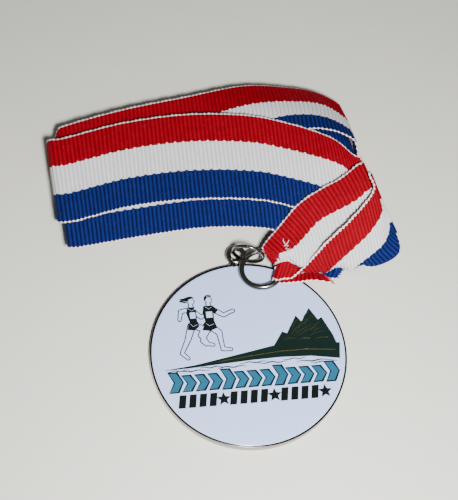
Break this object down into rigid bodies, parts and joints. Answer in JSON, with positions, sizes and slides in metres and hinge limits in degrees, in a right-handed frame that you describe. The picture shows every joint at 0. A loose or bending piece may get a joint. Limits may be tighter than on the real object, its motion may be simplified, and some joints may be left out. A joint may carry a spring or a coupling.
{
  "type": "sports finisher medal",
  "caption": "Round enamelled finisher medal with a lug, a jump ring and a larger ribbon ring carrying a striped neck ribbon folded in a flat coil.",
  "frame": {"origin": "centre of the medal's flat back, where it rests on the table", "axes": "+Z out of the medal's face, +Y from the disc's centre toward the lug and the ribbon, +X to the right of the upright medal"},
  "size_m": [0.0925, 0.1036, 0.0168],
  "materials": {
    "nickel_plate": "bright nickel plated casting",
    "dark_nickel_wire": "dark glossy nickel plated wire",
    "white_enamel": "glossy cold enamel, faintly blue white",
    "black_enamel": "glossy cold enamel",
    "teal_enamel": "glossy cold enamel",
    "striped_ribbon": "ribbed grosgrain in equal red, white and blue stripes, shown here as one mean colour",
    "white_thread": "twisted sewing thread"
  },
  "bodies": {
    "medal": {"medal_casting": "nickel_plate", "enamel_field": "white_enamel", "runner_figure": "black_enamel", "mountain_peaks": "black_enamel", "running_track": "black_enamel", "chevron_row": "teal_enamel", "diamond_row": "black_enamel"},
    "jump_ring": {"jump_ring": "dark_nickel_wire"},
    "ribbon_ring": {"ribbon_ring": "dark_nickel_wire"},
    "ribbon": {"neck_ribbon": "striped_ribbon", "bar_tack_stitching": "white_thread"}
  },
  "joints": [
    {"name": "jump_ring_in_lug", "type": "hinge", "parent": "medal", "child": "jump_ring", "pos_m": [0.00193, 0.02762, 0.002], "axis": [0.3321, 0.9432, 0], "range_deg": [-10, 0]},
    {"name": "ribbon_ring_in_jump_ring", "type": "hinge", "parent": "jump_ring", "child": "ribbon_ring", "pos_m": [0.00667, 0.02587, 0.0045], "axis": [0, 0, 1], "range_deg": [-3, 15]},
    {"name": "ribbon_round_ring", "type": "hinge", "parent": "ribbon_ring", "child": "ribbon", "pos_m": [0.01113, 0.02204, 0.0052], "axis": [0.087, 0.9962, 0], "range_deg": [-5, 1]}
  ]
}
